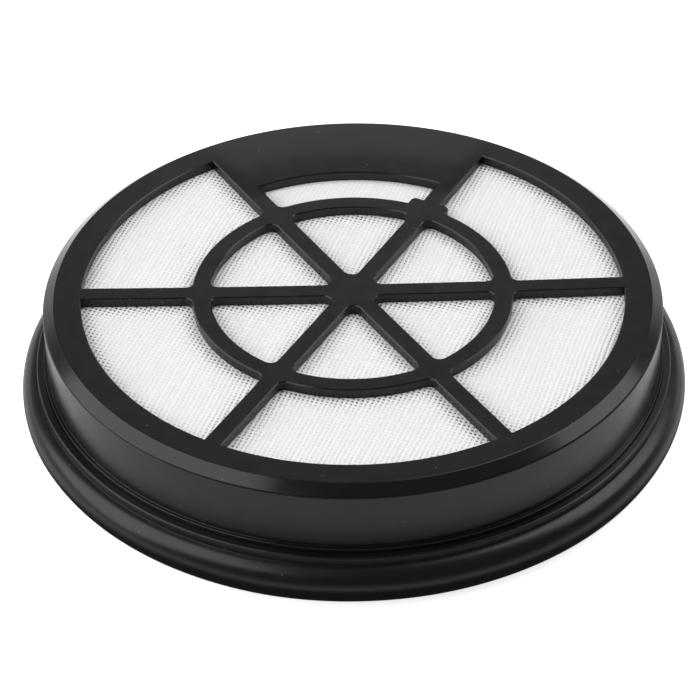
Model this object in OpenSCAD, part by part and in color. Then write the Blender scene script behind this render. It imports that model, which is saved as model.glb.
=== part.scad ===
// Round pleated filter for a vacuum cleaner's motor: a moulded grille frame that
// holds a net, a felt sheet and a pleated paper pack, with a rubber seal round its foot.
// Millimetres. The Z axis is the filter's own axis, and z = 0 is where the seal rests.

/* [Frame] */
// Outside diameter of the wall
wall_d = 151.8; // [140:0.2:170]
// Thickness of the wall
wall_t = 2; // [1.6:0.1:2.6]
// Height of the frame, from its foot to the grille's top face
frame_h = 21.4; // [16:0.2:30]
// Width of the sloping edge round the top, seen from above
chamfer_w = 2.8; // [1.6:0.2:3.6]
// Depth of the same sloping edge
chamfer_h = 2.2; // [1.2:0.2:3]
// Width of the flat rim between the openings and the sloping edge
rim_w = 6.6; // [5:0.2:9]
// Rounding of the rim's outer edges
edge_r = 0.4; // [0.2:0.1:0.6]

/* [Foot of the frame] */
// How far the thick band at the foot stands out from the wall
band_w = 0.9; // [0.6:0.1:1.4]
// Height of that band above the foot
band_h = 4.7; // [4:0.1:6]
// How far the flange that carries the seal stands out from the band
flange_w = 0.9; // [0.6:0.1:1.4]
// Thickness of the flange
flange_t = 2.2; // [1.6:0.1:2.8]

/* [Grille] */
// Number of spokes
spokes = 6; // [5:1:8]
// Width of a spoke
rib_w = 4.5; // [3:0.1:6]
// Depth of the spokes, the ring and the rim
rib_h = 2.5; // [1.8:0.1:3.4]
// Inside diameter of the ring
ring_d = 70; // [50:1:80]
// Width of the ring
ring_w = 4.4; // [3:0.1:6]
// Rounding of the openings' corners at the hub and at the ring
corner_r = 2; // [1:0.1:3]
// Width of the solid panel that closes most of one outer opening
panel_w = 16.1; // [10:0.1:20]
// Width of the pad where one spoke crosses the ring
pad_w = 10.5; // [8:0.1:14]
// Distance from the filter's axis to the pad's straight edge
pad_edge = 42; // [41:0.1:44]
// Rounding of the pad's two corners
pad_r = 1.2; // [0.6:0.1:2]

/* [Net and felt] */
// Distance between threads of the net
thread_pitch = 1; // [1:0.1:2]
// Width of a thread
thread_w = 0.45; // [0.3:0.05:0.6]
// How far the threads stand out of the net's web, on each face
thread_h = 0.15; // [0.1:0.05:0.25]
// Thickness of the web between the threads
web_t = 0.2; // [0.15:0.05:0.4]
// Angle of the net's cross threads
net_angle = -21; // [-45:1:45]
// Thickness of the felt sheet
felt_t = 1; // [0.6:0.1:2]

/* [Pleated pack] */
// Distance from one pleat to the next
pleat_pitch = 3.6; // [3:0.1:6]
// Thickness of the paper
paper_t = 0.5; // [0.3:0.05:0.7]
// Width of the flat at each fold, along the middle of the paper
fold_w = 0.7; // [0.6:0.05:1]
// How deep the pleats lie inside the foot of the frame
pack_recess = 2.4; // [1.5:0.1:6]
// Width of the glue ring between the pack and the wall
glue_w = 1.6; // [1:0.1:3]
// Number of glue lines across the pleats
glue_lines = 3; // [2:1:5]
// Distance between those glue lines
glue_line_gap = 36; // [20:1:40]
// Width of a glue line
glue_line_w = 1.8; // [1:0.1:3]
// Height of a glue line on the folds
glue_line_h = 0.7; // [0.4:0.1:1.2]

/* [Seal] */
// Diameter of the seal's round bead
bead_d = 8.9; // [7:0.1:11]
// How far the bead's middle lies outside the flange
bead_out = 0.5; // [0:0.1:1]
// How deep the foot of the frame sits below the bead's top
bead_bed = 0.3; // [0.2:0.1:0.6]
// Thickness of the rubber round the flange's edge
collar_t = 0.8; // [0.6:0.1:1.4]
// Thickness of the lip on top of the flange
lip_t = 1.9; // [1.2:0.1:2.2]
// How much the lip's top slopes down to its edge
lip_slope = 0.5; // [0.2:0.1:0.8]
// Rounding of the lip's edge
lip_r = 0.5; // [0.3:0.1:0.7]

/* [Fits] */
// Clearance round the parts that are dropped into the frame or stretched over it
fit = 0.15; // [0.1:0.05:0.3]

/* [Hidden] */
$fn = 120;
past = 1; // how far a cutting tool runs past the face that it cuts
arc_steps = 4; // straight steps in the rounding of a profile's corner
corner_in = corner_r * 0.99; // just under the radius, so that the rounding crosses both edges

// radii of the frame, from the outside in
wall_r = wall_d / 2;
band_r = wall_r + band_w;
flange_r = band_r + flange_w;
inner_r = wall_r - wall_t;
top_r = wall_r - chamfer_w;
open_r = top_r - rim_w;
panel_r = open_r - panel_w;
ring_in = ring_d / 2;
ring_out = ring_in + ring_w;

// radii of what the frame holds
sheet_r = inner_r - fit;
pack_r = sheet_r - glue_w;

// heights, from the surface that the seal rests on
foot_z = bead_d - bead_bed;
flange_z = foot_z + flange_t;
band_z = foot_z + band_h;
top_z = foot_z + frame_h;
rib_z = top_z - rib_h;
net_t = web_t + 2 * thread_h;
net_z = rib_z - net_t;
felt_z = net_z - felt_t;
pack_z = foot_z + pack_recess;

// one sector of the grille lies between two neighbouring spokes
sector = 360 / spokes;
panel_sector = 1; // the sector that has the solid panel
pad_spoke = 1; // the spoke that has the pad

// the seal
bead_r = bead_d / 2;
bead_c = flange_r + bead_out;
collar_r = flange_r + fit + collar_t;
collar_in = inner_r + fit;
lip_z = flange_z + lip_t;

// Outlines with rounded corners, and lines beside a path.

function unit(v) = v / norm(v);

// The points of the arc that rounds corner b between a and c, or b itself when r is 0.
// The arc touches both sides at r / tan(half the corner's angle) from b.
function round_corner(a, b, c, r) =
    let (u = unit(a - b), v = unit(c - b))
    let (half = acos(u * v) / 2)
    let (middle = b + unit(u + v) * r / sin(half))
    let (from = b + u * r / tan(half) - middle)
    let (turn = (180 - 2 * half) * sign(u.x * v.y - u.y * v.x))
    r == 0 ? [b] :
    [for (i = [0:arc_steps])
        let (t = -turn * i / arc_steps)
        middle + [from.x * cos(t) - from.y * sin(t), from.x * sin(t) + from.y * cos(t)]];

// A closed outline of corners [x, y, radius] with each corner rounded by its own radius.
function rounded(corners) =
    let (n = len(corners))
    let (p = [for (q = corners) [q.x, q.y]])
    [for (i = [0:n - 1]) each
        round_corner(p[(i + n - 1) % n], p[i], p[(i + 1) % n], corners[i][2])];

// The line beside a path at distance d to its left, mitred at every corner.
function beside(path, d) =
    let (n = len(path))
    let (left = [for (i = [0:n - 2]) let (u = unit(path[i + 1] - path[i])) [-u.y, u.x]])
    [for (i = [0:n - 1])
        let (a = left[max(i - 1, 0)], b = left[min(i, n - 2)])
        path[i] + d * (a + b) / (1 + a * b)];

function reversed(list) = [for (i = [len(list) - 1:-1:0]) list[i]];

// The frame and its grille.

// The wedge between two spokes' sides, reaching past the frame. Its tip is where they meet.
module wedge() {
    half = sector / 2;
    tip = rib_w / 2 / sin(half);
    reach = wall_r / cos(half);
    polygon([
        tip * [cos(half), sin(half)],
        [reach, rib_w / 2],
        reach * [cos(half), sin(half)] * 2,
        reach * [cos(sector), sin(sector)] + rib_w / 2 * [sin(sector), -cos(sector)]]);
}

// What a rounding leaves standing where a spoke's side meets the circle of radius r.
// side is 1 for a circle round the opening and -1 for one inside its edge.
module ring_corner(r, side) {
    from_side = rib_w / 2 + corner_in;
    from_axis = r - side * corner_in;
    middle = [sqrt(from_axis * from_axis - from_side * from_side), from_side];
    reach = r + side * past;
    difference() {
        polygon([
            middle,
            [middle.x, rib_w / 2 - past],
            [reach, rib_w / 2 - past],
            unit(middle) * reach]);
        translate(middle) circle(r = corner_r);
    }
}

// The same where the two spokes' sides meet at the hub.
module hub_corner() {
    half = sector / 2;
    middle = (rib_w / 2 + corner_in) / sin(half) * [cos(half), sin(half)];
    difference() {
        polygon([
            middle,
            [middle.x, rib_w / 2 - past],
            [0, 0],
            middle.x * [cos(sector), sin(sector)]
                + (rib_w / 2 - past) * [sin(sector), -cos(sector)]]);
        translate(middle) circle(r = corner_r);
    }
}

// A shape beside the sector's first spoke and its mirror image beside the second.
module beside_both_spokes() {
    children();
    rotate(sector) mirror([0, 1]) children();
}

module inner_opening() {
    difference() {
        intersection() {
            circle(r = ring_in);
            wedge();
        }
        hub_corner();
        beside_both_spokes() ring_corner(ring_in, 1);
    }
}

module outer_opening(outer_r) {
    difference() {
        intersection() {
            circle(r = outer_r);
            wedge();
        }
        circle(r = ring_out);
        beside_both_spokes() ring_corner(ring_out, -1);
    }
}

module openings() {
    for (i = [0:spokes - 1])
        rotate(sector * i) {
            inner_opening();
            outer_opening(i == panel_sector ? panel_r : open_r);
        }
}

// The pad is a short bar across its spoke, with two rounded corners towards the rim.
module pad() {
    polygon(rounded([
        [ring_in + ring_w / 2, -pad_w / 2, 0],
        [pad_edge, -pad_w / 2, pad_r],
        [pad_edge, pad_w / 2, pad_r],
        [ring_in + ring_w / 2, pad_w / 2, 0]]));
}

// Section of the rim, wall, band and flange. The grille's plate is joined inside open_r.
module frame_section() {
    polygon(rounded([
        [open_r - past, rib_z, 0],
        [open_r - past, top_z, 0],
        [top_r, top_z, edge_r],
        [wall_r, top_z - chamfer_h, edge_r],
        [wall_r, band_z, 0],
        [band_r, band_z, edge_r / 2],
        [band_r, flange_z, 0],
        [flange_r, flange_z, 0],
        [flange_r, foot_z, 0],
        [inner_r, foot_z, 0],
        [inner_r, rib_z, 0]]));
}

module grille_frame() {
    color("#2a2a2b") {
        difference() {
            union() {
                rotate_extrude() frame_section();
                translate([0, 0, rib_z]) cylinder(h = rib_h, r = open_r);
            }
            translate([0, 0, rib_z - past]) linear_extrude(rib_h + 2 * past) openings();
        }
        translate([0, 0, rib_z])
            linear_extrude(rib_h) rotate(sector * pad_spoke) pad();
    }
}

// The net and the felt.

// A comb in section: a web of half the net's thickness with a row of threads on top.
module thread_comb() {
    count = floor(sheet_r / thread_pitch);
    edge = (count + 0.5) * thread_pitch;
    teeth = [for (i = [-count:count]) each [
        [i * thread_pitch - thread_w / 2, web_t / 2],
        [i * thread_pitch - thread_w / 2, web_t / 2 + thread_h],
        [i * thread_pitch + thread_w / 2, web_t / 2 + thread_h],
        [i * thread_pitch + thread_w / 2, web_t / 2]]];
    polygon(concat([[-edge, 0], [-edge, web_t / 2]], teeth, [[edge, web_t / 2], [edge, 0]]));
}

// Threads that run along X, standing on the plane z = 0, trimmed to the net's circle.
module thread_layer() {
    long = 2 * sheet_r + 2 * past;
    intersection() {
        translate([-long / 2, 0, 0]) rotate([90, 0, 90]) linear_extrude(long) thread_comb();
        cylinder(h = net_t, r = sheet_r);
    }
}

module scrim_net() {
    color("#f2f2f0") translate([0, 0, net_z + net_t / 2]) rotate(net_angle) {
        rotate(90) thread_layer();
        mirror([0, 0, 1]) thread_layer();
    }
}

module prefilter_felt() {
    color("#fafaf8") translate([0, 0, felt_z]) cylinder(h = felt_t, r = sheet_r);
}

// The pleats and the glue that holds them.

// The middle line of the folded paper: up, across a fold, down, across a fold.
function pleat_path(low, high) =
    let (count = ceil(pack_r / pleat_pitch))
    [for (i = [-count:count - 1]) each [
        [i * pleat_pitch, low],
        [i * pleat_pitch + fold_w, low],
        [(i + 0.5) * pleat_pitch, high],
        [(i + 0.5) * pleat_pitch + fold_w, high]]];

module pleated_pack() {
    path = pleat_path(pack_z + paper_t / 2, felt_z - paper_t / 2);
    long = 2 * pack_r + 2 * past;
    color("#f6f5f0") intersection() {
        translate([0, long / 2, 0]) rotate([90, 0, 0]) linear_extrude(long)
            polygon(concat(beside(path, paper_t / 2), reversed(beside(path, -paper_t / 2))));
        translate([0, 0, pack_z - past]) cylinder(h = top_z, r = pack_r);
    }
}

// The glue climbs the wall a little, so its lower face slopes up to the pleats.
module potting_ring() {
    color("#e4dfce") rotate_extrude() polygon([
        [pack_r + fit, felt_z],
        [sheet_r, felt_z],
        [sheet_r, pack_z - glue_w / 2],
        [sheet_r - glue_w / 3, pack_z - glue_w / 3],
        [pack_r + fit, pack_z]]);
}

// Lines of glue laid across the folds, which keep the pleats apart.
module pleat_spacers() {
    long = 2 * pack_r + 2 * past;
    color("#e4dfce") intersection() {
        for (i = [0:glue_lines - 1])
            translate([-long / 2, (i - (glue_lines - 1) / 2) * glue_line_gap, pack_z])
                rotate([90, 0, 90]) linear_extrude(long) polygon([
                    [-glue_line_w / 2, 0],
                    [-glue_line_w / 3, -glue_line_h],
                    [glue_line_w / 3, -glue_line_h],
                    [glue_line_w / 2, 0]]);
        cylinder(h = top_z, r = pack_r);
    }
}

// The seal.

// The collar grips the flange from below, outside and above, and stands on the bead.
module collar_section() {
    polygon(rounded([
        [collar_in, bead_r, 0],
        [collar_r, bead_r, 0],
        [collar_r, lip_z - lip_slope, lip_r],
        [band_r + fit, lip_z, 0],
        [band_r + fit, flange_z, 0],
        [flange_r + fit, flange_z, 0],
        [flange_r + fit, foot_z, 0],
        [collar_in, foot_z, 0]]));
}

module rubber_seal() {
    color("#232323") rotate_extrude() {
        difference() {
            translate([bead_c, bead_r]) circle(r = bead_r);
            translate([inner_r, foot_z]) square([flange_r + fit - inner_r, flange_t]);
        }
        collar_section();
    }
}

grille_frame();
scrim_net();
prefilter_felt();
pleated_pack();
potting_ring();
pleat_spacers();
rubber_seal();
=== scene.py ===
# %% [markdown]
# # A round motor filter for a vacuum cleaner
# The filter is a black moulded frame with a spoked grille. Under the grille lie a white net and a
# felt sheet, inside the frame stands a pack of pleated paper, and a rubber seal goes round the foot.
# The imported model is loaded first: it fixes the size and place of every piece, and each surface
# made below stays inside its box.

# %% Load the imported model
import math

import bmesh
import bpy
import numpy as np
from mathutils import Matrix, Vector
from mathutils.geometry import delaunay_2d_cdt


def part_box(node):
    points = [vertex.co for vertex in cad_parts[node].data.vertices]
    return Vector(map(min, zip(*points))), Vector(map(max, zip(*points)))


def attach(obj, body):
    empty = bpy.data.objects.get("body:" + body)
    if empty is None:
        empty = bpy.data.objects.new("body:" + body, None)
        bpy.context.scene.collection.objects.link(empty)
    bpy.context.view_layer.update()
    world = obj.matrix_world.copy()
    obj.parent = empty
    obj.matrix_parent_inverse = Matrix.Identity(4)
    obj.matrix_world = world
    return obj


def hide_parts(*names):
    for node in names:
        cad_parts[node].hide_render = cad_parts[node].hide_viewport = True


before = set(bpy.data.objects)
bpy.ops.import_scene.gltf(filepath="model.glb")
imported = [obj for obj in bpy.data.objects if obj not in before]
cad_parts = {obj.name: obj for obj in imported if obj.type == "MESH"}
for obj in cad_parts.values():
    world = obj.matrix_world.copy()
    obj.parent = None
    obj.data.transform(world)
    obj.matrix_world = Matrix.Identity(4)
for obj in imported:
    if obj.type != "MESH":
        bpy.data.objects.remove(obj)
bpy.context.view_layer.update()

MM = 0.001

# %% [markdown]
# ## Sizes
# These are the real sizes in millimetres, measured from the filter's axis and from the surface
# that the seal rests on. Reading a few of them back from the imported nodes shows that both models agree.

# %% Sizes in millimetres
WALL_R, INNER_R = 75.9, 73.9             # the frame's wall, outside and inside
TOP_R, OPEN_R = 73.1, 66.5               # the flat rim's outer and inner edge
PANEL_R = 50.4                           # inner edge of the solid panel
RING_IN, RING_OUT = 35.0, 39.4           # the ring
RIB, CORNER = 4.5, 2.0                   # width of a spoke, rounding of an opening's corner
PAD_HALF, PAD_EDGE, PAD_ROUND = 5.25, 42.0, 1.2
BAND_R, FLANGE_R = 76.8, 77.7
FOOT_Z, FLANGE_Z, BAND_Z = 8.6, 10.8, 13.3
CHAMFER_Z, RIB_Z, TOP_Z = 27.8, 27.5, 30.0
NET_Z, FELT_Z, PLEAT_Z = 27.0, 26.0, 11.0    # top of the felt, its underside, and the lowest folds
SHEET_R, PACK_R = 73.75, 72.15
BEAD_R, BEAD_C = 4.45, 78.2              # the seal's bead: its radius and where its middle lies
BEAD_H, CREASE = 5.0, 74                 # half the bead's height, and where the collar meets it
COLLAR_R, COLLAR_IN, LIP_Z = 78.65, 74.05, 12.2
SECTOR = 60.0

low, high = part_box("grille_frame")
assert abs(high.z / MM - TOP_Z) < 0.01 and abs(low.z / MM - FOOT_Z) < 0.01
low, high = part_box("rubber_seal")
assert abs(high.x / MM - BEAD_C - BEAD_R) < 0.05

# %% [markdown]
# ## Meshes from arrays
# Every new piece is worked out as whole arrays of points. A grid of points needs only one rule for
# its faces, so one function numbers the quads of any grid, and another turns parts into one mesh:
# it merges the points where parts meet, turns all faces outwards and marks true corners as sharp.

# %% Helpers for meshes
def grid_faces(rows, cols, close_rows=False, close_cols=False, first=0):
    """Quads of a grid numbered row by row. A closed direction joins its last line to its first."""
    index = np.arange(first, first + rows * cols).reshape(rows, cols)
    if close_rows:
        index = np.vstack([index, index[:1]])
    if close_cols:
        index = np.hstack([index, index[:, :1]])
    quads = np.stack([index[:-1, :-1], index[1:, :-1], index[1:, 1:], index[:-1, 1:]], axis=-1)
    return quads.reshape(-1, 4)


def make_piece(name, parts, sharp=38.0):
    """One closed mesh object from parts, each (points in mm, faces). Faces that meet at more than
    sharp degrees keep a hard edge, and all others are shaded smoothly."""
    points, faces, first = [], [], 0
    for part_points, part_faces in parts:
        points.append(np.asarray(part_points, float) * MM)
        faces += [[int(corner) + first for corner in face] for face in part_faces]
        first += len(part_points)
    mesh = bpy.data.meshes.new(name)
    mesh.from_pydata(np.concatenate(points).tolist(), [], faces)
    work = bmesh.new()
    work.from_mesh(mesh)
    bmesh.ops.remove_doubles(work, verts=work.verts, dist=1e-7)
    bmesh.ops.recalc_face_normals(work, faces=work.faces)
    open_edges = sum(1 for e in work.edges if not e.is_manifold)
    work.to_mesh(mesh)
    work.free()
    mesh.shade_smooth()
    mesh.set_sharp_from_angle(angle=math.radians(sharp))
    piece = bpy.data.objects.new(name, mesh)
    bpy.context.scene.collection.objects.link(piece)
    triangles = sum(len(p.vertices) - 2 for p in mesh.polygons)
    print(f"{name}: {triangles} triangles, {open_edges} open edges")
    return piece


# %% [markdown]
# ## Outlines
# A moulded edge is never sharp: the steel that made it had a small radius, and that radius is
# what catches the light as a thin bright line. So each outline is rounded where the tool was,
# and each profile gets an extra point just past every rounding, which keeps the flat beside it flat.

# %% Helpers for outlines
def arc(centre, radius, start, end, step=0.45):
    """Points of a circle's arc: centre + radius * (cos t, sin t), t from start to end in degrees."""
    count = max(2, int(np.ceil(abs(math.radians(end - start)) * radius / step)) + 1)
    t = np.radians(np.linspace(start, end, count))
    return np.asarray(centre) + radius * np.stack([np.cos(t), np.sin(t)], axis=1)


def closed_loop(*parts, step=1.5):
    """Arcs laid end to end as one loop. Straight sides between them are cut into equal steps."""
    points = np.concatenate(parts)
    ahead = np.roll(points, -1, axis=0)
    gap = np.linalg.norm(ahead - points, axis=1)
    points, ahead, gap = points[gap > 1e-6], ahead[gap > 1e-6], gap[gap > 1e-6]
    cuts = np.maximum(1, np.ceil(gap / step).astype(int))
    owner = np.repeat(np.arange(len(points)), cuts)
    share = (np.arange(cuts.sum()) - np.repeat(np.cumsum(cuts) - cuts, cuts)) / cuts[owner]
    return points[owner] + share[:, None] * (ahead - points)[owner]


def moved_out(loop, distance):
    """A loop moved to its right by distance, mitred: p + d (a + b) / (1 + a . b), where a and b
    are the unit normals of the two sides that meet at p."""
    side = np.roll(loop, -1, axis=0) - loop
    a = np.stack([side[:, 1], -side[:, 0]], axis=1) / np.linalg.norm(side, axis=1)[:, None]
    b = np.roll(a, 1, axis=0)
    return loop + distance * (a + b) / (1 + (a * b).sum(axis=1))[:, None]


def rounded_path(corners, hold=0.08, steps=5):
    """A path of (r, z, radius) corners, each rounded by its own radius. An arc starts at
    radius / tan(half the corner) from the corner, and one more point lies hold before and after it."""
    spots = np.array([c[:2] for c in corners], float)
    path = [spots[:1]]
    for i in range(1, len(corners) - 1):
        back, on = spots[i - 1] - spots[i], spots[i + 1] - spots[i]
        back, on = back / np.linalg.norm(back), on / np.linalg.norm(on)
        half = math.acos(np.clip(back @ on, -1, 1)) / 2
        radius = corners[i][2]
        reach = radius / math.tan(half)
        middle = spots[i] + (back + on) / np.linalg.norm(back + on) * radius / math.sin(half)
        spoke = spots[i] + back * reach - middle
        turn = -np.sign(back[0] * on[1] - back[1] * on[0]) * (math.pi - 2 * half)
        t = np.linspace(0, turn, steps + 1)[:, None]
        bend = middle + spoke * np.cos(t) + np.array([-spoke[1], spoke[0]]) * np.sin(t)
        path += [spots[i:i + 1] + back * (reach + hold), bend, spots[i:i + 1] + on * (reach + hold)]
    return np.concatenate(path + [spots[-1:]])


def turned(profile, steps=360, closed=True):
    """A profile of (r, z) points turned round the axis: (r cos t, r sin t, z)."""
    t = np.radians(np.arange(steps) * 360.0 / steps)[:, None]
    r, z = profile[:, 0][None], profile[:, 1][None]
    points = np.stack([r * np.cos(t), r * np.sin(t), z + 0 * t], axis=-1)
    return points.reshape(-1, 3), grid_faces(steps, len(profile), close_rows=True, close_cols=closed)


def inside(points, loop):
    """Which points lie in a loop: those with an odd number of its sides to their right."""
    x, y = points[:, :1], points[:, 1:2]
    x0, y0 = loop[:, 0][None], loop[:, 1][None]
    x1, y1 = np.roll(loop, -1, axis=0).T[:, None]
    crosses = (y0 > y) != (y1 > y)
    reach = x0 + (y - y0) * (x1 - x0) / np.where(y1 == y0, 1, y1 - y0)
    return (crosses & (x < reach)).sum(axis=1) % 2 == 1


# %% [markdown]
# ## The grille's openings
# Six spokes and one ring cut the grille into twelve openings. Each is drawn in its own sector,
# with the first spoke along X, as arcs laid end to end: a fillet where a spoke meets the hub or the
# ring, and sharp corners at the rim. One outer opening is almost closed by a panel, and
# a small pad stands where one spoke crosses the ring.

# %% Outlines of the openings
EDGE = 0.24                              # bevel of the grille's upper edges
half_rib = RIB / 2
past_rib = half_rib + CORNER


def turn(points, degrees):
    """Points turned round the axis."""
    t = math.radians(degrees)
    return points @ np.array([[math.cos(t), math.sin(t)], [-math.sin(t), math.cos(t)]])


def far_side(points):
    """The mirror image beside the sector's second spoke, in the reverse order."""
    return turn(points * [1, -1], SECTOR)[::-1]


def inner_opening():
    """Hub fillet, first spoke, ring and second spoke, anticlockwise."""
    from_hub = past_rib / math.sin(math.radians(SECTOR / 2))
    hub = from_hub * np.array([math.cos(math.radians(SECTOR / 2)), math.sin(math.radians(SECTOR / 2))])
    spot = np.array([math.sqrt((RING_IN - CORNER) ** 2 - past_rib ** 2), past_rib])
    lean = math.degrees(math.atan2(spot[1], spot[0]))
    corner = arc(spot, CORNER, -90, lean)
    return closed_loop(arc(hub, CORNER, 90 + SECTOR, 270), corner,
                       arc((0, 0), RING_IN, lean, SECTOR - lean), far_side(corner))


def outer_opening(outer_r, pad_first=False, pad_second=False):
    """First spoke, rim, second spoke and ring, anticlockwise, with the pad beside either spoke."""
    spot = np.array([math.sqrt((RING_OUT + CORNER) ** 2 - past_rib ** 2), past_rib])
    lean = math.degrees(math.atan2(spot[1], spot[0]))
    corner = arc(spot, CORNER, 180 + lean, 270)
    round_at = (PAD_EDGE - PAD_ROUND, PAD_HALF - PAD_ROUND)
    pad_lean = math.degrees(math.asin(PAD_HALF / RING_OUT))
    pad = np.concatenate([arc(round_at, PAD_ROUND, 90, 0, 0.3), [[PAD_EDGE, half_rib]]])
    rim = math.degrees(math.asin(half_rib / outer_r))
    first, second = (pad if pad_first else corner), far_side(pad if pad_second else corner)
    ring = arc((0, 0), RING_OUT, SECTOR - (pad_lean if pad_second else lean),
               pad_lean if pad_first else lean)
    return closed_loop(first, arc((0, 0), outer_r, rim, SECTOR - rim), second, ring)


PANEL_SECTOR, PAD_SPOKE = 1, 1
openings = []
for k in range(6):
    openings.append(turn(inner_opening(), SECTOR * k))
    openings.append(turn(outer_opening(PANEL_R if k == PANEL_SECTOR else OPEN_R,
                                       pad_first=k == PAD_SPOKE, pad_second=k == PAD_SPOKE - 1), SECTOR * k))
print(len(openings), "openings,", sum(len(loop) for loop in openings), "points")

# %% [markdown]
# ## The frame
# The frame is one moulding. Its plate is flat plastic round twelve holes, which a grid can't
# follow, so a Delaunay triangulation fills it between the outlines, with a few inner points for even
# triangles. Each opening's wall is a ladder of loops: over the rounded edge and down to the net.
# Rim, wall and foot are one profile turned round the axis. The plate sags a little towards the hub.

# %% Build the frame
SAG = 0.7                                # how far the hub hangs below the rim


def smooth(value, start, end):
    """0 at start, 1 at end, and s s (3 - 2 s) between."""
    s = np.clip((value - start) / (end - start), 0, 1)
    return s * s * (3 - 2 * s)


def sagged(points):
    """The same points lowered by SAG (1 - (r / R)^2) inside the rim, but not where the panel stiffens it."""
    out = np.array(points, float)
    r = np.hypot(out[:, 0], out[:, 1])
    from_panel = np.abs(np.degrees(np.arctan2(out[:, 1], out[:, 0])) - SECTOR * (PANEL_SECTOR + 0.5))
    stiff = smooth(from_panel, 34, 29) * smooth(r, 44, 62)
    out[:, 2] -= SAG * np.clip(1 - (r / TOP_R) ** 2, 0, None) * (1 - 0.8 * stiff)
    return out


def plate(outer, holes, z):
    """Triangles between an outer loop and the holes, at one height, with a hexagonal grid of
    inner points 2 mm apart that keep 0.7 mm away from every outline."""
    pitch = 2.0
    i, j = np.meshgrid(np.arange(-45, 46), np.arange(-45, 46), indexing="ij")
    spots = np.stack([(i + 0.5 * (j % 2)) * pitch, j * pitch * math.sqrt(0.75)], axis=-1).reshape(-1, 2)
    spots = spots[np.hypot(*spots.T) < np.hypot(*outer.T).min() - 0.7]
    for hole in holes:
        spots = spots[~inside(spots, moved_out(hole, 0.7))]
    loops = [outer] + holes
    points = np.concatenate(loops + [spots])
    edges, first = [], 0
    for loop in loops:
        numbers = np.arange(first, first + len(loop))
        edges += np.stack([numbers, np.roll(numbers, -1)], axis=1).tolist()
        first += len(loop)
    found = delaunay_2d_cdt([Vector(p) for p in points.tolist()], edges, [], 0, 1e-7)
    flat = np.array([tuple(v) for v in found[0]])
    triangles = np.array(found[2])
    middle = flat[triangles].mean(axis=1)
    keep = inside(middle, outer)
    for hole in holes:
        keep &= ~inside(middle, hole)
    heights = np.full((len(flat), 1), float(z))
    return sagged(np.hstack([flat, heights])), triangles[keep]


def opening_wall(loop):
    """Loops from the plate's top, over an edge bevelled by EDGE, down the wall to the underside."""
    soft = 0.03
    steps = [(EDGE + 0.08, TOP_Z), (EDGE, TOP_Z), (EDGE - soft, TOP_Z - soft), (soft, TOP_Z - EDGE + soft),
             (0, TOP_Z - EDGE), (0, TOP_Z - EDGE - 0.08), (0, RIB_Z + 0.08), (0, RIB_Z)]
    rows = [np.hstack([moved_out(loop, out), np.full((len(loop), 1), z)]) for out, z in steps]
    return sagged(np.concatenate(rows)), grid_faces(len(steps), len(loop), close_cols=True)


ROUND, SOFT_ROUND = 0.4, 0.7             # roundings of the frame's outer edges
frame_path = rounded_path([
    (TOP_R - 0.6, TOP_Z, 0), (TOP_R, TOP_Z, ROUND), (WALL_R, CHAMFER_Z, SOFT_ROUND), (WALL_R, BAND_Z, 0.15),
    (BAND_R, BAND_Z, 0.2), (BAND_R, FLANGE_Z, 0.1), (FLANGE_R, FLANGE_Z, 0.15), (FLANGE_R, FOOT_Z, 0.15),
    (INNER_R, FOOT_Z, 0.25), (INNER_R, RIB_Z, 0)])
round_wall, round_faces = turned(frame_path, closed=False)
steps_round = 360
top_edge = round_wall.reshape(steps_round, -1, 3)[:, 0, :2]
under_edge = round_wall.reshape(steps_round, -1, 3)[:, -1, :2]
parts = [(sagged(round_wall), round_faces),
         plate(top_edge, [moved_out(loop, EDGE + 0.08) for loop in openings], TOP_Z),
         plate(under_edge, openings, RIB_Z)]
parts += [opening_wall(loop) for loop in openings]
frame_piece = make_piece("frame_moulding", parts)

# %% [markdown]
# ## The net
# The net is a plain weave: warp and weft cross at about 93 degrees, 1.13 mm apart, and pass over and
# under each other in turn. All crossings form one lattice, so a warp thread runs along a row of
# it and a weft thread along a column, one raised and the other lowered where i + j is even. A slow wave
# through the lattice gives it the uneven look of cloth that was laid in by hand.

# %% Weave the net
PITCH, WARP_W, WEFT_W, WARP_T, WEFT_T, LIFT = 1.13, 0.60, 0.54, 0.07, 0.04, 0.02
WARP_AT, WEFT_AT = 70.0, -23.0           # directions of the two families, in degrees
NET_MIDDLE = NET_Z + 0.40
NET_R = 70.0                             # the rim hides what lies further out


def unit(degrees):
    """The unit vector at an angle from X."""
    return np.array([math.cos(math.radians(degrees)), math.sin(math.radians(degrees))])


reach = int(NET_R / PITCH) + 3
i, j = np.meshgrid(np.arange(-reach, reach + 1), np.arange(-reach, reach + 1), indexing="ij")
across = np.array([unit(WARP_AT + 90), unit(WEFT_AT + 90)])
lattice = np.stack([i, j], axis=-1) * PITCH @ np.linalg.inv(across).T
wave = np.stack([
    0.35 * np.sin(lattice[..., 1] / 9.0 + 0.7) + 0.25 * np.sin(lattice[..., 0] / 14.0 + lattice[..., 1] / 23.0),
    0.30 * np.sin(lattice[..., 0] / 11.0 + 1.9) + 0.20 * np.sin(lattice[..., 1] / 17.0 - lattice[..., 0] / 29.0)],
    axis=-1)
crossings = lattice + wave
raised = np.where((i + j) % 2 == 0, LIFT, -LIFT)
kept = np.hypot(crossings[..., 0], crossings[..., 1]) < NET_R


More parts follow.
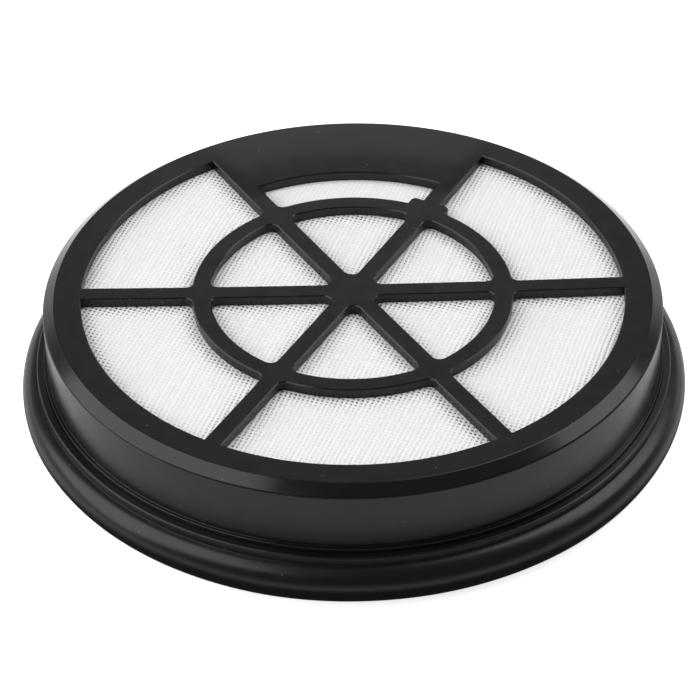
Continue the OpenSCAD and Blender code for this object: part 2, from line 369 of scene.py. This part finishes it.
def threads(spots, lift, keep, direction, thread_width, thickness):
    """Three-sided threads along the rows of the lattice. The section at a crossing is a low roof:
    half a width to either side, and one thickness up, centred on (x, y, middle + lift)."""
    rows, cols = keep.shape
    rng = np.random.default_rng(7)
    side = unit(direction + 90)
    width = thread_width * (1 + 0.12 * rng.standard_normal((rows, 1))) / 2
    centre = np.dstack([spots, NET_MIDDLE - thickness / 2 + lift])
    sideways = np.dstack([width * side[0], width * side[1], 0 * width]) * np.ones((rows, cols, 1))
    rings = np.stack([centre + sideways, centre + [0, 0, thickness], centre - sideways], axis=2)
    number = np.arange(rows * cols * 3).reshape(rows, cols, 3)
    both = keep[:, :-1] & keep[:, 1:]
    a, b = number[:, :-1][both], number[:, 1:][both]
    sides = np.stack([a, np.roll(a, -1, 1), np.roll(b, -1, 1), b], axis=-1).reshape(-1, 4)
    blank = np.zeros((rows, 1), bool)
    starts = number[keep & ~np.hstack([blank, keep[:, :-1]])]
    ends = number[keep & ~np.hstack([keep[:, 1:], blank])][:, ::-1]
    faces = sides.tolist() + starts.tolist() + ends.tolist()
    used, numbers = np.unique(np.concatenate([f for f in faces]), return_inverse=True)
    numbers = iter(numbers.tolist())
    return sagged(rings.reshape(-1, 3)[used]), [[next(numbers) for _ in f] for f in faces]


warp = threads(crossings, raised, kept, WARP_AT, WARP_W, WARP_T)
weft = threads(crossings.transpose(1, 0, 2), -raised.T, kept.T, WEFT_AT, WEFT_W, WEFT_T)
net_piece = make_piece("woven_net", [warp, weft], sharp=100)

# %% [markdown]
# ## The felt
# Under the net lies a thin sheet of needled felt. In the middle of each opening it swells up to the
# net, and beside the ribs it hangs lower, so the net's holes look dark there. Its surface is a turned
# disc, lowered by how near each point is to a rib, with low lumps. Its fibres are left to the material.

# %% Lay the felt
def lumps(points, size, height):
    """Low smooth lumps: height times the mean of four sines whose wavelengths are near size."""
    x, y = points[:, 0] / size * 2 * math.pi, points[:, 1] / size * 2 * math.pi
    return height * (np.sin(x * 1.1 + 0.4) * np.cos(y * 0.9) + np.sin(0.7 * x - 1.3 * y + 2.0)
                     + np.cos(1.9 * x + 0.8 * y) * 0.5 + np.sin(2.3 * y + 0.3 * x) * 0.5) / 3


def from_ribs(points):
    """How far points lie from the nearest rib: the distance r |sin(angle to the next spoke)|, less
    half a spoke, or the distance to the ring or the rim, whichever is smallest."""
    r = np.hypot(points[:, 0], points[:, 1])
    angle = np.mod(np.degrees(np.arctan2(points[:, 1], points[:, 0])), SECTOR)
    spoke = r * np.sin(np.radians(np.minimum(angle, SECTOR - angle))) - half_rib
    ring = np.maximum(RING_IN - r, np.minimum(r - RING_OUT, OPEN_R - r))
    return np.minimum(spoke, ring)


FELT_TOP, FELT_DROP, FELT_REACH = NET_Z + 0.32, 1.18, 1.2
ring_r = np.linspace(0, SHEET_R - 0.1, 81)
felt_path = np.concatenate([
    np.stack([ring_r, np.full(81, FELT_TOP)], axis=1), [[SHEET_R, FELT_TOP], [SHEET_R, FELT_Z + 0.07]],
    np.stack([ring_r[::-8], np.full(11, FELT_Z + 0.05)], axis=1)])
felt_points, felt_faces = turned(felt_path, closed=False)
upper = felt_points[:, 2] > FELT_TOP - 0.1
felt_points[:, 2] -= upper * FELT_DROP * np.exp(-np.clip(from_ribs(felt_points), 0, None) / FELT_REACH)
felt_points[:, 2] += lumps(felt_points, 7.0, 0.015) - 0.015
felt_piece = make_piece("felt_sheet", [(sagged(felt_points), felt_faces)])

# %% [markdown]
# ## The pleated paper
# The paper is scored, folded into an accordion and cut round. Its middle line is one path up and
# down with a small radius at every fold. Carried across the filter it makes a sheet of two
# parameters: along the path, and across from one side of the circle to the other.
# Solidify then gives the sheet its thickness.

# %% Fold the paper
FOLD, PAPER, FOLD_ROUND = 3.6, 0.5, 0.34
fold_low, fold_high = PLEAT_Z + PAPER / 2, FELT_Z - PAPER / 2
count = int((PACK_R - 0.6) / FOLD)
corners = []
for k in range(-count, count):
    corners += [(k * FOLD, fold_low, FOLD_ROUND), (k * FOLD + 0.7, fold_low, FOLD_ROUND),
                ((k + 0.5) * FOLD, fold_high, FOLD_ROUND), ((k + 0.5) * FOLD + 0.7, fold_high, FOLD_ROUND)]
fold_path = rounded_path(corners, hold=0.01, steps=4)
across_steps = np.linspace(-1, 1, 25)[None]
x = fold_path[:, :1] + 0 * across_steps
half_width = np.sqrt((PACK_R - 0.4) ** 2 - np.clip(np.abs(x), 0, PACK_R - 1.5) ** 2)
y = half_width * across_steps
z = fold_path[:, 1:] + 0 * across_steps
depth = (fold_high - z) / (fold_high - fold_low)
x = x + 0.22 * depth * np.sin(y / 11.0 + x * 0.9) * np.cos(y / 5.3 + x * 2.1) * (1 - across_steps ** 8)
paper_points = sagged(np.stack([x, y, z], axis=-1).reshape(-1, 3))
paper_points[:, 2] = np.where(depth.ravel() < 0.5, paper_points[:, 2], z.ravel())
paper_piece = make_piece("pleated_paper", [(paper_points, grid_faces(*x.shape))])
thicken = paper_piece.modifiers.new("paper_thickness", "SOLIDIFY")
thicken.thickness, thicken.offset = PAPER * MM, 0

# %% [markdown]
# ## The glue
# Hot-melt glue seals the pleats to the wall and holds them apart. It was poured as a liquid, so
# its ring has a soft, slightly uneven surface that climbs the wall, and the three lines across the folds
# are round on top and sink a little between one fold and the next.

# %% Pour the glue
glue_path = rounded_path([
    (PACK_R + 0.15, FELT_Z - 0.1, 0), (SHEET_R, FELT_Z - 0.1, 0.2), (SHEET_R, PLEAT_Z - 0.7, 0.1),
    (SHEET_R - 0.5, PLEAT_Z - 0.45, 0.3), (PACK_R + 0.15, PLEAT_Z + 0.1, 0.2), (PACK_R + 0.15, FELT_Z - 0.1, 0)])[:-1]
glue_points, glue_faces = turned(glue_path)
around = np.arctan2(glue_points[:, 1], glue_points[:, 0])
low_part = np.clip((PLEAT_Z + 1 - glue_points[:, 2]) / 1.5, 0, 1)
glue_points[:, 2] += 0.12 * low_part * (np.sin(17 * around) * np.sin(5 * around + 1) + 1)
glue_ring = make_piece("glue_ring", [(glue_points, glue_faces)])

GLUE_W, GLUE_H, GLUE_GAP = 1.8, 0.7, 36.0
glue_parts = []
for k in (-1, 0, 1):
    long = math.sqrt(PACK_R ** 2 - (abs(k) * GLUE_GAP + GLUE_W) ** 2) - 0.3
    s = np.linspace(-long, long, int(2 * long / 0.4))[:, None]
    t = np.radians(np.linspace(0, 360, 14, endpoint=False))[None]
    swell = 1 - 0.18 * (0.5 - 0.5 * np.cos(2 * math.pi * (s - 0.35) / FOLD)) + 0.05 * np.sin(s * 1.3 + k)
    wide = GLUE_W / 2 * swell * np.cos(t) + k * GLUE_GAP + 0.25 * np.sin(s / 9 + k)
    tall = PLEAT_Z + 0.05 + np.where(np.sin(t) < 0, GLUE_H * swell - 0.02, 0.3) * np.sin(t)
    taper = np.clip(long - np.abs(s), 0, 1) ** 0.5
    points = np.stack([s + 0 * t, k * GLUE_GAP + (wide - k * GLUE_GAP) * taper,
                       PLEAT_Z + (tall - PLEAT_Z) * taper], axis=-1)
    glue_parts.append((points.reshape(-1, 3), grid_faces(*points.shape[:2], close_cols=True)))
glue_lines = make_piece("glue_lines", glue_parts)

# %% [markdown]
# ## The rubber seal
# The seal is one soft moulding, stretched over the frame's flange: a lip that grips the flange, and
# below it the round bead that is squeezed against the housing. Its section is a closed outline of
# straight runs and one long arc. Rubber keeps no line as straight as plastic does,
# so a slow wave of a few hundredths of a millimetre runs through it.

# %% Mould the seal
bead = arc((BEAD_C, BEAD_R), BEAD_R, CREASE, -198, 0.4) * [1, BEAD_H / BEAD_R]
grip = rounded_path([
    (COLLAR_IN, 7.5, 0), (COLLAR_IN, FOOT_Z, 0.15), (FLANGE_R + 0.15, FOOT_Z, 0.1),
    (FLANGE_R + 0.15, FLANGE_Z, 0.05), (BAND_R + 0.03, FLANGE_Z, 0.05), (BAND_R + 0.03, LIP_Z, 0.12),
    (COLLAR_R, LIP_Z - 0.1, 0.45), (COLLAR_R, 2 * BEAD_H, 0.12), (*bead[0], 0)])
seal_outline = np.concatenate([grip[:-1], bead])
seal_points, seal_faces = turned(seal_outline)
around = np.arctan2(seal_points[:, 1], seal_points[:, 0])
from_axis = np.hypot(seal_points[:, 0], seal_points[:, 1])
slack = np.clip((from_axis - 77.0) / 3.0, 0, 1)
slow = np.sin(3 * around + 0.5) + 0.6 * np.sin(7 * around + 2.0) + 0.4 * np.sin(13 * around)
grown = 1 + 0.05 * slow * slack / from_axis
seal_points[:, :2] *= grown[:, None]
seal_points[:, 2] += 0.04 * slack * (np.sin(5 * around + 1.0) + 0.5 * np.sin(11 * around)) * (seal_points[:, 2] > 2)
seal_piece = make_piece("seal_ring", [(seal_points, seal_faces)], sharp=50)

# %% [markdown]
# ## Colours and nodes
# Colours are written as hex values, as they look on a screen. Shaders count in linear light, so one
# function turns the one into the other. A second one adds a node with its settings and its
# links, and a third starts a material whose pattern is measured in millimetres on the object.

# %% Helpers for materials
def linear(hex_colour):
    """A hex colour in linear light: c / 12.92 where c is small, and ((c + 0.055) / 1.055) ** 2.4 elsewhere."""
    c = np.array([int(hex_colour[k:k + 2], 16) for k in (1, 3, 5)]) / 255
    return (*np.where(c <= 0.04045, c / 12.92, ((c + 0.055) / 1.055) ** 2.4).tolist(), 1.0)


def add(tree, kind, inputs=None, **settings):
    """A new node. Settings are its own properties. Inputs are numbers, colours or other nodes' sockets."""
    node = tree.nodes.new("ShaderNode" + kind)
    for key, value in settings.items():
        setattr(node, key, value)
    for key, value in (inputs or {}).items():
        if isinstance(value, bpy.types.NodeSocket):
            tree.links.new(value, node.inputs[key])
        else:
            node.inputs[key].default_value = value
    return node


def start_material(name, **shader):
    """A material with a Principled shader. Returns it, its tree, its shader and a place in mm."""
    material = bpy.data.materials.new(name)
    material.use_nodes = True
    tree = material.node_tree
    tree.nodes.clear()
    surface = add(tree, "BsdfPrincipled", {key.replace("_", " "): value for key, value in shader.items()})
    add(tree, "OutputMaterial", {"Surface": surface.outputs["BSDF"]})
    where = add(tree, "TexCoord").outputs["Object"]
    in_mm = add(tree, "Mapping", {"Vector": where, "Scale": (1000, 1000, 1000)}).outputs["Vector"]
    return material, tree, surface, in_mm


def noise(tree, place, size, detail=2.0):
    """Noise whose lumps are size millimetres wide."""
    return add(tree, "TexNoise", {"Vector": place, "Scale": 1 / size, "Detail": detail}).outputs["Fac"]


def ranged(tree, value, low_in, high_in, low_out, high_out):
    """A value moved from one range into another, and held there."""
    return add(tree, "MapRange", {"Value": value, "From Min": low_in, "From Max": high_in,
                                  "To Min": low_out, "To Max": high_out}).outputs["Result"]


def mixed(tree, share, a, b):
    """Colour a where share is 0 and b where it is 1."""
    return add(tree, "Mix", {0: share, 6: a, 7: b}, data_type="RGBA").outputs[2]


def dust(tree, place, size, radius):
    """A mask of specks of dust: 1 within radius of the middle of a cell that is size across."""
    cell = add(tree, "TexVoronoi", {"Vector": place, "Scale": 1 / size}).outputs["Distance"]
    return ranged(tree, cell, radius / size, 0.5 * radius / size, 0.0, 0.85)


# %% [markdown]
# ## Black ABS
# The frame is moulded ABS with a fine satin gloss, a copy of the polished steel that it was moulded
# against. It mirrors the studio softly, so its look comes from a low roughness. Shrinking over the
# thick places leaves a very slow waviness, and a few specks of dust have settled on it.

# %% Black ABS, moulded
abs_plastic, tree, surface, mm = start_material("moulded_black_abs", IOR=1.40)
speck = dust(tree, mm, 5.0, 0.16)
shade = mixed(tree, noise(tree, mm, 9.0), linear("#131314"), linear("#171717"))
tree.links.new(mixed(tree, speck, shade, linear("#8b8b84")), surface.inputs["Base Color"])
sheen = ranged(tree, noise(tree, mm, 5.0, 3.0), 0.3, 0.7, 0.17, 0.23)
tree.links.new(add(tree, "Math", {0: sheen, 1: speck}, operation="MAXIMUM").outputs[0], surface.inputs["Roughness"])
sink = add(tree, "Bump", {"Height": noise(tree, mm, 24.0, 1.0), "Strength": 1.0, "Distance": 0.00006})
grain = add(tree, "Bump", {"Height": noise(tree, mm, 0.35), "Strength": 0.12, "Distance": 0.00002,
                           "Normal": sink.outputs["Normal"]})
tree.links.new(grain.outputs["Normal"], surface.inputs["Normal"])

# %% [markdown]
# ## Black rubber
# The seal is moulded rubber, softer to the eye than the plastic: the same black with a rougher
# surface, a bloom that makes it slightly olive, and a fine grain that holds dust.

# %% Black rubber, moulded
rubber, tree, surface, mm = start_material("moulded_black_rubber", IOR=1.42)
speck = dust(tree, mm, 4.0, 0.18)
bloom = mixed(tree, noise(tree, mm, 14.0, 3.0), linear("#0f0f0e"), linear("#151513"))
tree.links.new(mixed(tree, speck, bloom, linear("#83837a")), surface.inputs["Base Color"])
tree.links.new(ranged(tree, noise(tree, mm, 3.0, 4.0), 0.3, 0.7, 0.27, 0.33), surface.inputs["Roughness"])
grain = add(tree, "Bump", {"Height": noise(tree, mm, 0.5, 3.0), "Strength": 0.25, "Distance": 0.00003})
tree.links.new(grain.outputs["Normal"], surface.inputs["Normal"])

# %% [markdown]
# ## White polyester
# The net is woven from white polyester thread, which is a bundle of fine strands. At this distance
# they blend into faint paler and greyer streaks along the warp, so the noise is turned to
# the warp's direction and drawn out along it.

# %% White polyester net
polyester, tree, surface, mm = start_material("woven_white_polyester", Roughness=0.55, IOR=1.5, Sheen_Weight=0.15)
along = add(tree, "Mapping", {"Vector": mm, "Rotation": (0, 0, math.radians(WARP_AT)), "Scale": (16, 1, 1)},
            vector_type="TEXTURE").outputs["Vector"]
streak = noise(tree, along, 1.3, 2.0)
tone = mixed(tree, ranged(tree, streak, 0.35, 0.65, 0, 1), linear("#f9faf9"), linear("#fefefe"))
tree.links.new(tone, surface.inputs["Base Color"])
strands = add(tree, "Bump", {"Height": noise(tree, mm, 0.12, 2.0), "Strength": 0.3, "Distance": 0.00004})
tree.links.new(strands.outputs["Normal"], surface.inputs["Normal"])

# %% [markdown]
# ## White felt
# Needled felt has no threads. Its fibres lie in all directions, so one noise twists another,
# which gives short curved wisps a few tenths of a millimetre wide.

# %% White felt, needled
felt, tree, surface, mm = start_material("needled_white_felt", Roughness=0.9, IOR=1.45, Sheen_Weight=0.2)
wisp = add(tree, "TexNoise", {"Vector": mm, "Scale": 1 / 0.9, "Detail": 4.0, "Distortion": 2.5}).outputs["Fac"]
tone = mixed(tree, ranged(tree, wisp, 0.3, 0.7, 0, 1), linear("#f4f4f3"), linear("#fafaf9"))
tree.links.new(tone, surface.inputs["Base Color"])
fuzz = add(tree, "Bump", {"Height": wisp, "Strength": 0.6, "Distance": 0.0001})
tree.links.new(fuzz.outputs["Normal"], surface.inputs["Normal"])

# %% [markdown]
# ## Filter paper and hot-melt glue
# Filter paper is a soft mat of fibres, off-white and quite matt, with faint clouds where the
# pulp is thicker. Hot-melt glue is a pale amber wax that lets a little light in.

# %% Filter paper, and hot-melt glue
paper, tree, surface, mm = start_material("pleated_filter_paper", Roughness=0.85, IOR=1.45)
cloud = noise(tree, mm, 2.2, 5.0)
tone = mixed(tree, ranged(tree, cloud, 0.3, 0.7, 0, 1), linear("#e6e2d6"), linear("#f4f1e8"))
tree.links.new(tone, surface.inputs["Base Color"])
fibres = add(tree, "Bump", {"Height": noise(tree, mm, 0.3, 3.0), "Strength": 0.4, "Distance": 0.00005})
tree.links.new(fibres.outputs["Normal"], surface.inputs["Normal"])

glue, tree, surface, mm = start_material("hot_melt_glue", IOR=1.48, Subsurface_Weight=0.3, Subsurface_Scale=0.001)
tone = mixed(tree, noise(tree, mm, 6.0), linear("#d6cbab"), linear("#e6ddc4"))
tree.links.new(tone, surface.inputs["Base Color"])
tree.links.new(ranged(tree, noise(tree, mm, 2.0), 0.3, 0.7, 0.28, 0.42), surface.inputs["Roughness"])
flow = add(tree, "Bump", {"Height": noise(tree, mm, 1.5), "Strength": 0.4, "Distance": 0.0001})
tree.links.new(flow.outputs["Normal"], surface.inputs["Normal"])

# %% [markdown]
# ## Put the pieces in their places
# Every piece gets its material, rides on the filter's one body and stands for its imported solid,
# which is hidden. The net, the felt and the paper are sheets: two round blanks 147.5 mm across,
# and a strip folded 40 times.

# %% Places and materials
for piece, material, node, slot in (
        (frame_piece, abs_plastic, "grille_frame", "black_abs"),
        (net_piece, polyester, "scrim_net", "white_net"),
        (felt_piece, felt, "prefilter_felt", "white_felt"),
        (paper_piece, paper, "pleated_pack", "filter_paper"),
        (glue_ring, glue, "potting_ring", "hot_melt"),
        (glue_lines, glue, "pleat_spacers", "hot_melt"),
        (seal_piece, rubber, "rubber_seal", "black_rubber")):
    piece.data.materials.append(material)
    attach(piece, "root")
    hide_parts(node)

# %% [markdown]
# ## Camera
# The photograph was taken from 38 degrees above the horizon. The outlines of the rim, the ring and the
# spokes gave the camera's place, its lens and a roll of three quarters of a degree.

# %% Set the camera
stand, aim = Vector((-8.4, -527.3, 423.6)) * MM, Vector((-1.2, -24.9, 30.0)) * MM
back = (stand - aim).normalized()
right = Vector((0, 0, 1)).cross(back).normalized()
up = back.cross(right)
roll = math.radians(-0.76)
right, up = right * math.cos(roll) + up * math.sin(roll), up * math.cos(roll) - right * math.sin(roll)
lens = bpy.data.cameras.new("camera")
lens.lens, lens.sensor_width = 138.11, 36.0
lens.clip_start, lens.clip_end = 0.01, 50.0
camera = bpy.data.objects.new("camera", lens)
camera.matrix_world = Matrix((
    (right.x, up.x, back.x, stand.x), (right.y, up.y, back.y, stand.y), (right.z, up.z, back.z, stand.z), (0, 0, 0, 1)))
bpy.context.scene.collection.objects.link(camera)
bpy.context.scene.camera = camera
bpy.context.scene.view_settings.view_transform = "Standard"

# %% [markdown]
# ## Floor
# The filter stands on a white sheet. The floor is lit like everything else, and what the camera sees
# of it is brought up to white, so that the shadow stays but the ground is clean. Reflections see a
# painted floor: a ring of painted shade next to the seal's foot, a painted pool of light round it that
# fades further out, and a painted bright glare behind the filter. Seen from below, and under the
# filter within 70 mm of its axis, it is clear, so that the underside can be looked at.

# %% Lay the floor
size = 5.0
mesh = bpy.data.meshes.new("floor")
mesh.from_pydata([(-size, -size, 0), (size, -size, 0), (size, size, 0), (-size, size, 0)], [], [(0, 1, 2, 3)])
floor = bpy.data.objects.new("floor", mesh)
bpy.context.scene.collection.objects.link(floor)
floor_sheet = bpy.data.materials.new("white_sheet")
floor_sheet.use_nodes = True
tree = floor_sheet.node_tree
tree.nodes.clear()
ray = add(tree, "LightPath").outputs
seen = add(tree, "Math", {0: ray["Is Camera Ray"], 1: ray["Is Transmission Ray"]}, operation="MAXIMUM").outputs[0]
at = add(tree, "TexCoord").outputs["Object"]
behind = add(tree, "SeparateXYZ", {0: at}).outputs["Y"]
at = add(tree, "VectorMath", {0: at, 1: (1.1, 1, 1)}, operation="MULTIPLY").outputs["Vector"]
spot = add(tree, "VectorMath", {0: at}, operation="LENGTH").outputs["Value"]
# Painted light and shade that only reflections see: a painted glare behind the filter, a painted pool of light that
# fades outwards, and painted shade next to the foot
painted_rear_glare = add(tree, "Math", {0: ranged(tree, behind, 0.085, 0.12, 0, 1), 1: ranged(tree, spot, 0.14, 0.36, 3.6, 1.2)},
            operation="MULTIPLY").outputs[0]
painted_pool_fade = add(tree, "Math", {0: ranged(tree, spot, 0.112, 0.15, 1, 0.3), 1: painted_rear_glare}, operation="MAXIMUM").outputs[0]
painted_shade_and_pool = add(tree, "Math", {0: ranged(tree, spot, 0.0905, 0.0985, 0.07, 1), 1: painted_pool_fade}, operation="MULTIPLY").outputs[0]
# Reflections also see the painted pool and glare as a glow
lift = add(tree, "Math", {0: painted_shade_and_pool, 1: ray["Is Glossy Ray"]}, operation="MULTIPLY").outputs[0]
lift = add(tree, "Math", {0: lift, 1: 0.5}, operation="MULTIPLY").outputs[0]
lift = add(tree, "Math", {0: seen, 1: 0.8, 2: lift}, operation="MULTIPLY_ADD").outputs[0]
# In reflections the floor's colour is painted: black in the painted shade by the foot, pale grey in the painted pool
painted_reflection_colour = mixed(tree, painted_shade_and_pool, linear("#000000"), linear("#c8c7c2"))
lit = add(tree, "BsdfDiffuse", {"Color": mixed(tree, ray["Is Glossy Ray"], linear("#f4f3ee"), painted_reflection_colour)}).outputs[0]
glow = add(tree, "Emission", {"Color": linear("#ffffff"), "Strength": lift}).outputs[0]
both = add(tree, "AddShader", {0: lit, 1: glow}).outputs[0]
under = add(tree, "Math", {0: add(tree, "NewGeometry").outputs["Backfacing"],
                           1: ranged(tree, spot, 0.070, 0.071, 1, 0)}, operation="MAXIMUM").outputs[0]
clear = add(tree, "BsdfTransparent").outputs[0]
add(tree, "OutputMaterial", {"Surface": add(tree, "MixShader", {0: under, 1: both, 2: clear}).outputs[0]})
mesh.materials.append(floor_sheet)

# %% [markdown]
# ## Studio
# Black gloss shows the room more than itself. Behind the filter a white backdrop glows near the horizon,
# and the rest of the room is dim. The world's colour is worked out from the ray's direction: x, y and z
# of a unit vector. The camera itself sees plain white.

# %% Light the room
world = bpy.data.worlds.new("studio")
bpy.context.scene.world = world
world.use_nodes = True
tree = world.node_tree
tree.nodes.clear()
ray = add(tree, "LightPath").outputs
axis = add(tree, "SeparateXYZ", {0: add(tree, "TexCoord").outputs["Generated"]}).outputs
aside = add(tree, "Math", {0: axis["X"]}, operation="ABSOLUTE").outputs[0]


def soft_step(value, start, end):
    """0 at start, 1 at end, smooth between."""
    return add(tree, "MapRange", {"Value": value, "From Min": start, "From Max": end},
               interpolation_type="SMOOTHSTEP").outputs["Result"]


def times(a, b):
    """The product of two values."""
    return add(tree, "Math", {0: a, 1: b}, operation="MULTIPLY").outputs[0]


def plus(a, b):
    """The sum of two values."""
    return add(tree, "Math", {0: a, 1: b}, operation="ADD").outputs[0]


behind = soft_step(axis["Y"], 0.3, 0.6)
horizon = times(times(soft_step(axis["Z"], 0.26, 0.08), behind), 1.0)
backdrop = times(times(soft_step(axis["Z"], 0.57, 0.53), soft_step(aside, 0.13, 0.06)), 1.2)
room = plus(plus(horizon, times(backdrop, behind)), ranged(tree, axis["Y"], -0.5, 0.8, 0.12, 0.22))
white = add(tree, "Math", {0: ray["Is Camera Ray"], 1: ray["Is Transmission Ray"]}, operation="MAXIMUM").outputs[0]
level = add(tree, "Mix", {0: white, 2: room, 3: 1.0}).outputs[0]
sky = add(tree, "Background", {"Color": linear("#ffffff"), "Strength": level})
add(tree, "OutputWorld", {"Surface": sky.outputs[0]})

# %% [markdown]
# Two large soft boxes do the rest. The left one is a little warm, and is mirrored in the sloping edge.
# The right one is cooler and stands further back, so both throw the spokes' shadows towards the camera.

# %% Hang the soft boxes
def soft_box(name, towards, roll, distance, wide, high, brightness, hex_colour):
    """A rectangular lamp that faces the filter, turned by roll degrees. Its power is brightness times
    pi times its area."""
    lamp = bpy.data.lights.new(name, "AREA")
    lamp.shape, lamp.size, lamp.size_y = "RECTANGLE", wide, high
    lamp.energy = brightness * math.pi * wide * high
    lamp.color = linear(hex_colour)[:3]
    box = bpy.data.objects.new(name, lamp)
    direction = Vector(towards).normalized()
    facing = direction.to_track_quat("Z", "Y").to_matrix().to_4x4()
    box.matrix_world = Matrix.Translation(direction * distance) @ facing @ Matrix.Rotation(math.radians(roll), 4, "Z")
    box.visible_camera = False
    bpy.context.scene.collection.objects.link(box)
    print(f"{name}: {lamp.energy:.2f} W")
    return box


soft_box("left_box", (-0.797, -0.141, 0.587), 61, 0.9, 1.2, 0.88, 2.5, "#fffffa")
soft_box("right_box", (0.555, 0.26, 0.79), -41, 0.9, 0.56, 0.98, 2.8, "#f9fcff")
